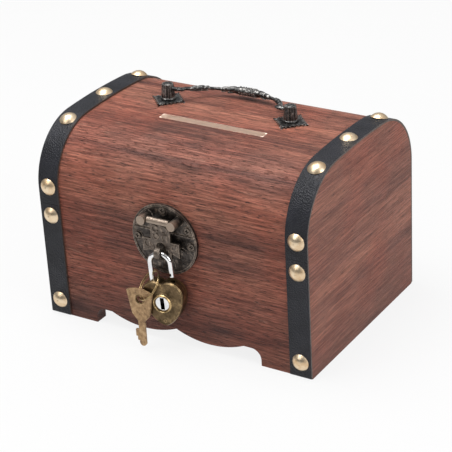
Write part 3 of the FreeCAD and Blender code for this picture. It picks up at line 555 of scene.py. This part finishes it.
# Bail of the handle. Cast as a bar with leaves that lap towards a beaded grip, bent to an arc,
# with a curl and a stub at each end. The stubs turn in the posts, and it rests folded back.
BAIL_END_X = 33.1
BAIL_REACH = 22.5
BAIL_DROOP = 0.19456
PIVOT_Z = 120.95
BAIL_WIRE = 0.95
GRIP_RADIUS = 2.2
GRIP_HALF = 6.0
GRIP_TAPER = 6.0
BAIL_STEPS = 56
CURL_RING = (2.1, 0.8)
CURL_MIDDLE = (32.1, 1.6)
STUB = (1.1, 4.7)
BAIL_LEAVES = ((10.0, 0.95), (14.0, 0.8), (25.0, 0.7), (28.5, 0.95), (32.0, 0.75))
BAIL_LEAF_SIZE = (3.2, 1.15, 0.75)
BAIL_LEAF_TILT = math.radians(9)
BAIL_LEAF_TURNS = (20, 90, 160, 270)
BEAD_RADIUS = 0.6
BEAD_ROWS = 7
BEADS_ROUND = 9
arc_radius = (BAIL_END_X ** 2 + BAIL_REACH ** 2) / (2 * BAIL_REACH)
arc_half = math.atan2(BAIL_END_X, arc_radius - BAIL_REACH)
bail_half = arc_radius * arc_half


def bar_radius(distance):
    """Half thickness of the bail's bar at a distance from its middle."""
    taper = min(max((abs(distance) - GRIP_HALF) / GRIP_TAPER, 0.0), 1.0)
    return GRIP_RADIUS + (BAIL_WIRE - GRIP_RADIUS) * taper


bpy.ops.mesh.primitive_circle_add(
    vertices=14, radius=bar_radius(bail_half) * MM, fill_type="NGON",
    location=(-bail_half * MM, 0.0, 0.0), rotation=(0.0, math.pi / 2, 0.0),
)
bar = bpy.context.object
bpy.ops.object.transform_apply(location=True, rotation=True, scale=True)
bpy.ops.object.mode_set(mode="EDIT")
bpy.ops.mesh.select_all(action="SELECT")
bar_step = 2 * bail_half / BAIL_STEPS
for step in range(BAIL_STEPS):
    here = -bail_half + step * bar_step
    swell = bar_radius(here + bar_step) / bar_radius(here)
    bpy.ops.mesh.extrude_region_move(TRANSFORM_OT_translate={"value": (bar_step * MM, 0.0, 0.0)})
    bpy.ops.transform.resize(
        value=(1.0, swell, swell), center_override=((here + bar_step) * MM, 0.0, 0.0))
bpy.ops.object.mode_set(mode="OBJECT")
bail_parts = [bar]
for distance, size in BAIL_LEAVES:
    for side in (-1, 1):
        for turn in BAIL_LEAF_TURNS:
            about = math.radians(turn)
            out = bar_radius(distance)
            bpy.ops.mesh.primitive_uv_sphere_add(
                segments=10, ring_count=6, radius=size * MM, scale=BAIL_LEAF_SIZE,
                location=(side * distance * MM, out * math.cos(about) * MM, out * math.sin(about) * MM),
                rotation=(about - math.pi / 2, side * BAIL_LEAF_TILT, 0.0),
            )
            bail_parts.append(bpy.context.object)
for row in range(BEAD_ROWS):
    distance = (row - (BEAD_ROWS - 1) / 2) * 2 * GRIP_HALF / BEAD_ROWS
    for count in range(BEADS_ROUND):
        about = (count + row % 2 / 2) / BEADS_ROUND * 2 * math.pi
        rise = Vector((distance, GRIP_RADIUS * math.cos(about), GRIP_RADIUS * math.sin(about)))
        bpy.ops.mesh.primitive_ico_sphere_add(
            subdivisions=1, radius=BEAD_RADIUS * MM, location=rise * MM)
        bail_parts.append(bpy.context.object)
bail = joined(bail_parts)
bow = bail.modifiers.new("bow", "SIMPLE_DEFORM")
bow.deform_method = "BEND"
bow.deform_axis = "Z"
bow.angle = -2 * arc_half
bpy.ops.object.modifier_apply(modifier=bow.name)
bail.location = (0.0, BAIL_REACH * MM, 0.0)
bail_parts = [bail]
for side in (-1, 1):
    bpy.ops.mesh.primitive_torus_add(
        major_radius=CURL_RING[0] * MM, minor_radius=CURL_RING[1] * MM, major_segments=28,
        minor_segments=12, location=(side * CURL_MIDDLE[0] * MM, CURL_MIDDLE[1] * MM, 0.0),
    )
    bail_parts.append(bpy.context.object)
    bpy.ops.mesh.primitive_cylinder_add(
        vertices=20, radius=STUB[0] * MM, depth=STUB[1] * MM, rotation=(0.0, math.pi / 2, 0.0),
        location=(side * (BAIL_END_X + STUB[1] / 2) * MM, 0.0, 0.0),
    )
    bail_parts.append(bpy.context.object)
bail = joined(bail_parts)
bail.rotation_euler = (-BAIL_DROOP, 0.0, 0.0)
bail.location = (0.0, HANDLE_Y * MM, PIVOT_Z * MM)
settle("handle_bail_cast", pewter, "handle", "dark_cast_metal", "handle_bail")

# Screws of the handle, and the padlock's spring and latch. Steel wire and strip, zinc plated.
# The screws come up from inside the lid, and the other two lie hidden in the padlock's case.
ZINC_DULL = "8f9093"
ZINC_BRIGHT = "c4c5c6"
ZINC_SCALE = 500.0
ZINC_DEPTH = 0.0001
steel, tree, shader = start_finish("zinc_plated_steel")
place = add(tree, "TexCoord", {}).outputs["Object"]
bloom = noise(tree, place, ZINC_SCALE, 4.0)
tree.links.new(ramp(tree, bloom, ((0.3, ZINC_DULL), (0.7, ZINC_BRIGHT))), shader.inputs["Base Color"])
shader.inputs["Metallic"].default_value = 1.0
tree.links.new(between(tree, bloom, 0.3, 0.7, 0.4, 0.28), shader.inputs["Roughness"])
relief(tree, shader, bloom, ZINC_DEPTH, 0.2)
dress(steel, "handle_screws", "padlock_spring", "padlock_latch")

# Padlock shackle and plug. Steel rod and bar, turned, polished and chromed. The keyhole is
# painted black as its shade.
CHROME_DULL = "dcdcde"
CHROME_BRIGHT = "f6f6f4"
KEYHOLE_SHADE = "0c0b0a"
KEYHOLE_SHADE_REACH = 0.004
HAZE_SCALE = 300.0
HAZE_DEPTH = 0.0001
chrome, tree, shader = start_finish("chromed_steel")
place = add(tree, "TexCoord", {}).outputs["Object"]
haze = noise(tree, place, HAZE_SCALE, 4.0)
plating = ramp(tree, haze, ((0.3, CHROME_DULL), (0.7, CHROME_BRIGHT)))
# Painted shade: the chrome turns black deep in the keyhole.
depth = between(tree, hollows(tree, KEYHOLE_SHADE_REACH), 0.35, 0.8, 1.0, 0.0)
tree.links.new(blended(tree, depth, plating, KEYHOLE_SHADE), shader.inputs["Base Color"])
shader.inputs["Metallic"].default_value = 1.0
tree.links.new(between(tree, haze, 0.35, 0.7, 0.06, 0.14), shader.inputs["Roughness"])
relief(tree, shader, haze, HAZE_DEPTH, 0.08)
dress(chrome, "padlock_shackle", "padlock_plug")

# Padlock case with its back plate and rivets. Pressed brass, brushed across and aged,
# with its rim and the boss round the plug polished by use.
BRASS_DARK = "3d3120"
BRASS_DULL = "6c5a42"
BRASS_BRIGHT = "bfa274"
case_brass = patina(
    "aged_brass", BRASS_DARK, BRASS_DULL, BRASS_BRIGHT,
    metal=0.9, rough=0.36, grain=210.0, edge=0.0009,
)[0]
dress(case_brass, "padlock_case", "padlock_back_plate", "padlock_rivets")

# Collar rolled round the plug of the padlock. It is part of the pressed brass of the case, stands
# a little proud of the plug's face, and is bright from the key.
PLUG_PLACE = Vector((-0.182, -70.68, 30.342))
PLUG_AXIS = Vector((0.15643, -0.98769, 0.0))
PLUG_COLLAR_RADII = (5.7, 4.95)
PLUG_COLLAR_HEIGHT = 1.0
PLUG_COLLAR_RISE = 0.4
PLUG_COLLAR_WALL = 0.65
PLUG_COLLAR_ROUND = 0.18
BRASS_POLISHED = "e6cf9c"
bpy.ops.mesh.primitive_cone_add(
    vertices=48, radius1=PLUG_COLLAR_RADII[0] * MM, radius2=PLUG_COLLAR_RADII[1] * MM,
    depth=PLUG_COLLAR_HEIGHT * MM, end_fill_type="NOTHING",
    location=(PLUG_PLACE + PLUG_COLLAR_RISE * PLUG_AXIS) * MM,
    rotation=PLUG_AXIS.to_track_quat("Z", "Y").to_euler(),
)
wall = bpy.context.object.modifiers.new("thickness", "SOLIDIFY")
wall.thickness = PLUG_COLLAR_WALL * MM
bpy.ops.object.modifier_apply(modifier=wall.name)
soft = bpy.context.object.modifiers.new("rounding", "BEVEL")
soft.width = PLUG_COLLAR_ROUND * MM
soft.segments = 3
bpy.ops.object.modifier_apply(modifier=soft.name)
polished_brass = patina(
    "polished_bead", BRASS_DULL, BRASS_BRIGHT, BRASS_POLISHED,
    metal=0.95, rough=0.28, grain=300.0, edge=0.0006,
)[0]
settle("padlock_collar", polished_brass, "case", "antique_brass")

# Key, stamped from brass plate and tumbled in sand, so that its faces are dull and grainy.
# A rim is pressed up round its hole.
KEY_DARK = "785f47"
KEY_DULL = "b3936d"
KEY_BRIGHT = "d6b993"
SAND_SCALE = 2600.0
SAND_DEPTH = 0.0003
KEY_HOLE = (-12.7, -73.8, 31.6)
KEY_RIM = (2.55, 0.32)
key_brass, tree, shader, _, place = patina(
    "sanded_brass", KEY_DARK, KEY_DULL, KEY_BRIGHT, metal=0.75, rough=0.46, grain=300.0, edge=0.0004)
relief(tree, shader, noise(tree, place, SAND_SCALE, 2.0), SAND_DEPTH, 0.6)
dress(key_brass, "key")
bpy.ops.mesh.primitive_torus_add(
    major_radius=KEY_RIM[0] * MM, minor_radius=KEY_RIM[1] * MM, major_segments=40, minor_segments=10,
    location=Vector(KEY_HOLE) * MM, rotation=(math.pi / 2, 0.0, 0.0),
)
settle("key_hole_rim", case_brass, "key", "antique_brass")

# Key ring. Thin brass wire wound twice, through the key's hole and round the shackle's long leg.
# The two turns lie close together, as on a split ring.
RING_CENTRE = Vector((-8.985, -69.131, 38.958))
RING_NORMAL = Vector((-0.5305, -0.5740, 0.6238))
KEY_RING_RADIUS = 8.77
KEY_RING_WIRE = 0.33
RING_SHIFT = 0.4
ring_parts = []
for shift in (-RING_SHIFT, RING_SHIFT):
    middle = RING_CENTRE + shift * RING_NORMAL
    bpy.ops.mesh.primitive_torus_add(
        major_radius=(KEY_RING_RADIUS + shift / 2) * MM, minor_radius=KEY_RING_WIRE * MM,
        major_segments=64, minor_segments=10, location=middle * MM,
        rotation=RING_NORMAL.to_track_quat("Z", "Y").to_euler(),
    )
    ring_parts.append(bpy.context.object)
joined(ring_parts)
settle("key_ring_wire", polished_brass, "ring", "antique_brass", "key_ring")

# Pale floor that the box stands on. White paper, so bright to the eye that the box's shadow
# stays faint, as on a studio table.
FLOOR_SIZE = 8.0
FLOOR_PAPER = "cccccc"
FLOOR_GLOW = 0.85
bpy.ops.mesh.primitive_plane_add(size=FLOOR_SIZE)
floor = bpy.context.object
floor.name = "floor"
paper, tree, shader = start_finish("pale_paper")
shader.inputs["Base Color"].default_value = tint(FLOOR_PAPER)
shader.inputs["Roughness"].default_value = 0.9
shader.inputs["Specular IOR Level"].default_value = 0.0


def seen_by_eye(tree):
    """One for rays from the eye, straight, mirrored or through glass, and nought for light."""
    path = add(tree, "LightPath", {})
    mirrored = add(
        tree, "Math", {0: path.outputs["Is Glossy Ray"], 1: path.outputs["Is Transmission Ray"]},
        operation="MAXIMUM",
    ).outputs["Value"]
    return add(
        tree, "Math", {0: path.outputs["Is Camera Ray"], 1: mirrored}, operation="MAXIMUM",
    ).outputs["Value"]


glow = add(tree, "Emission", {"Strength": 1.0})
amount = between(tree, seen_by_eye(tree), 0.0, 1.0, 0.0, FLOOR_GLOW)
lit = add(tree, "MixShader", {0: amount, 1: shader.outputs["BSDF"], 2: glow.outputs["Emission"]})
tree.links.new(lit.outputs["Shader"], tree.nodes["Material Output"].inputs["Surface"])
floor.data.materials.append(paper)

# Soft studio light: a pale room, darker towards its walls and in front of the box, with
# a wide softbox overhead and weaker ones on the right and high in front.
ROOM_LIGHT = (0.14, 0.7)
FRONT_LIGHT = (0.3, 1.0)
world = bpy.data.worlds.new("pale_room")
bpy.context.scene.world = world
world.use_nodes = True
tree = world.node_tree
air = tree.nodes["Background"]
air.inputs["Color"].default_value = (1.0, 1.0, 1.0, 1.0)
towards = add(tree, "SeparateXYZ", {"Vector": add(tree, "TexCoord", {}).outputs["Generated"]})
rise = between(tree, towards.outputs["Z"], 0.0, 0.7, *ROOM_LIGHT)
dusk = between(tree, towards.outputs["Y"], -0.85, -0.1, *FRONT_LIGHT)
room = add(tree, "Math", {0: rise, 1: dusk}, operation="MULTIPLY").outputs["Value"]
path = add(tree, "LightPath", {}).outputs["Is Camera Ray"]
strength = add(tree, "Mix", {0: path, 2: room, 3: 1.0}).outputs[0]
tree.links.new(strength, air.inputs["Strength"])


def softbox(name, place, aim, size, power):
    """A square lamp at a place, turned to face a point."""
    lamp = bpy.data.lights.new(name, "AREA")
    lamp.size = size
    lamp.energy = power
    holder = bpy.data.objects.new(name, lamp)
    holder.location = place
    holder.rotation_euler = (Vector(aim) - Vector(place)).to_track_quat("-Z", "Y").to_euler()
    bpy.context.scene.collection.objects.link(holder)


softbox("softbox_over", place=(-0.25, -0.12, 1.3), aim=(0.0, 0.0, 0.05), size=0.9, power=16.0)
softbox("softbox_right", place=(1.1, -0.2, 0.6), aim=(0.05, 0.0, 0.05), size=0.7, power=6.0)
softbox("softbox_front", place=(-0.5, -1.1, 1.1), aim=(0.0, 0.0, 0.1), size=0.8, power=4.5)

# Camera at the photograph's angle, looking down on the front right corner from about a metre
# away, with a long lens and a slight roll.
CAMERA_PLACE = (0.46277, -0.71781, 0.46736)
CAMERA_AZIMUTH = 32.93
CAMERA_HEIGHT = 26.28
CAMERA_ROLL = -3.36
CAMERA_LENS = 134.08
SENSOR_WIDTH = 36.0
azimuth, height, roll = (math.radians(a) for a in (CAMERA_AZIMUTH, CAMERA_HEIGHT, CAMERA_ROLL))
behind = Vector((
    math.sin(azimuth) * math.cos(height), -math.cos(azimuth) * math.cos(height), math.sin(height),
))
level = Vector((math.cos(azimuth), math.sin(azimuth), 0.0))
upright = behind.cross(level)
sideways = level * math.cos(roll) + upright * math.sin(roll)
upwards = upright * math.cos(roll) - level * math.sin(roll)
lens = bpy.data.cameras.new("camera")
lens.lens = CAMERA_LENS
lens.sensor_width = SENSOR_WIDTH
camera = bpy.data.objects.new("camera", lens)
camera.matrix_world = Matrix.Translation(CAMERA_PLACE) @ Matrix(
    (sideways, upwards, behind)).transposed().to_4x4()
bpy.context.scene.collection.objects.link(camera)
bpy.context.scene.camera = camera
bpy.context.scene.view_settings.view_transform = "Standard"
